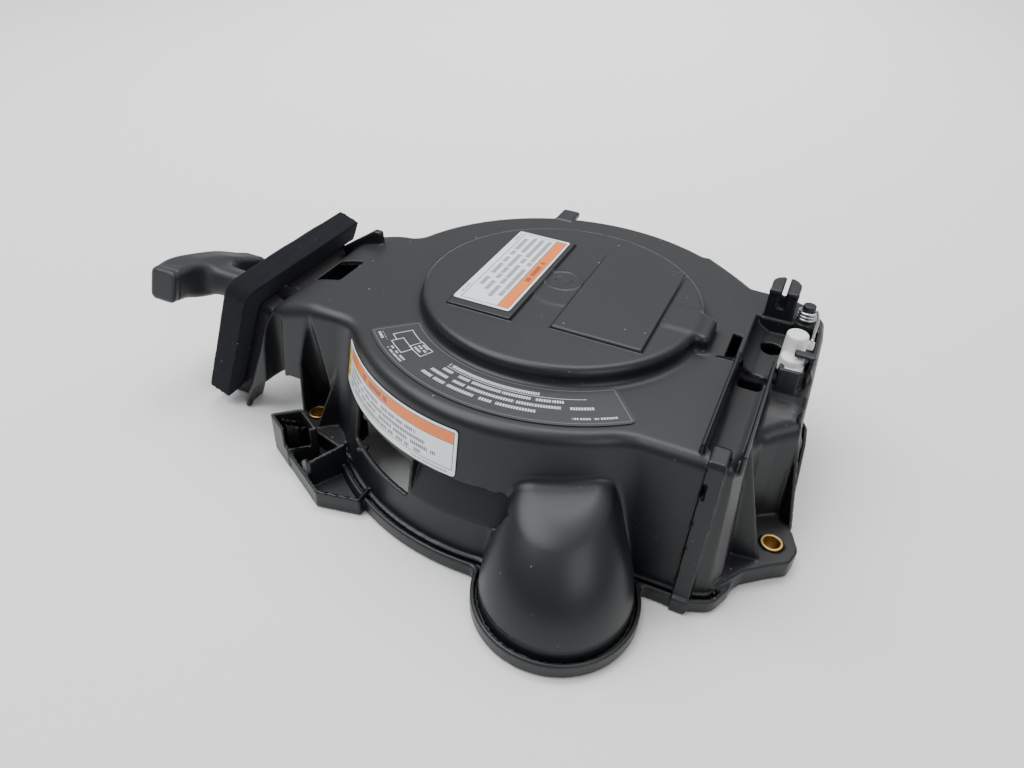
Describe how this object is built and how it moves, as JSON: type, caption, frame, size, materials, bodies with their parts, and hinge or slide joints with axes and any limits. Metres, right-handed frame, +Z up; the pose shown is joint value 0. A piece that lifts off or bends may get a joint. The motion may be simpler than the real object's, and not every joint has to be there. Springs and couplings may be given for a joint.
{
  "type": "recoil starter",
  "caption": "Flywheel cover with a spring-wound rope drum, drive pawls, T-handle on a rope, foam seal and start-lock lever for a small outboard engine.",
  "frame": {"origin": "middle of the base of the bounding box at rest; the mounting flange's underside is Z = 0", "axes": "+Z up along the drum's axis, -X out along the pull of the rope, -Y towards the side with the funnel bulge"},
  "size_m": [0.3996, 0.322, 0.106],
  "materials": {
    "black_moulding": "fine moulded grain, satin black",
    "brass": "turned, dull",
    "foam": "closed-cell foam, blue-black",
    "label_stock": "printed film",
    "dark_label": "printed film, charcoal",
    "drum_moulding": "moulded",
    "acetal": "white acetal",
    "spring_steel": "oiled spring steel",
    "rope": "braided polyester",
    "nylon": "moulded nylon",
    "rubber": "moulded rubber over a core",
    "steel": "zinc-plated"
  },
  "bodies": {
    "housing": {"housing": "black_moulding", "collar_right": "brass", "collar_front": "brass", "collar_rear": "brass", "foam_seal": "foam", "dome_label": "label_stock", "arc_label": "dark_label", "side_label": "label_stock", "rope_guide": "nylon", "pivot_bolt": "steel", "retaining_washer": "steel", "recoil_spring": "spring_steel", "rope_lead": "rope", "lever_pin": "steel", "stop_spring": "steel", "spring_cap": "nylon"},
    "drum": {"sheave_drum": "drum_moulding", "drum_bush": "acetal", "rope_wound": "rope", "rope_drum_knot": "rope", "pawl_pin_1": "steel", "pawl_pin_2": "steel", "pawl_spring_1": "spring_steel", "pawl_spring_2": "spring_steel"},
    "pawl_1": {"drive_pawl_1": "steel"},
    "pawl_2": {"drive_pawl_2": "steel"},
    "handle": {"handle_grip": "rubber", "handle_cap_near": "rubber", "handle_cap_far": "rubber", "handle_rope_knot": "rope", "handle_plug": "rubber", "rope_tail": "rope"},
    "stop_lever": {"stop_lever": "acetal", "stop_arm": "steel"}
  },
  "joints": [
    {"name": "drum_spin", "type": "hinge", "parent": "housing", "child": "drum", "pos_m": [0.0398, 0.011, 0.067], "axis": [0, 0, -1], "range_deg": [0, 1014], "stiffness_Nm_per_rad": 0.05, "springref_deg": -687.55},
    {"name": "handle_pull", "type": "slide", "parent": "housing", "child": "handle", "axis": [-1, 0, 0], "range_m": [0, 1.2]},
    {"name": "pawl_1_swing", "type": "hinge", "parent": "drum", "child": "pawl_1", "pos_m": [0.0698, 0.011, 0.052], "axis": [0, 0, 1], "range_deg": [0, 34], "stiffness_Nm_per_rad": 0.01, "springref_deg": -17.19},
    {"name": "pawl_2_swing", "type": "hinge", "parent": "drum", "child": "pawl_2", "pos_m": [0.0098, 0.011, 0.052], "axis": [0, 0, 1], "range_deg": [0, 34], "stiffness_Nm_per_rad": 0.01, "springref_deg": -17.19},
    {"name": "stop_lever_swing", "type": "hinge", "parent": "housing", "child": "stop_lever", "pos_m": [0.1678, 0.02, 0.085], "axis": [0, 0, 1], "range_deg": [0, 12], "stiffness_Nm_per_rad": 0.05, "springref_deg": -11.46}
  ],
  "couplings": [
    {"joint": "handle_pull", "follows": "drum_spin", "m_per_rad": 0.0678}
  ]
}
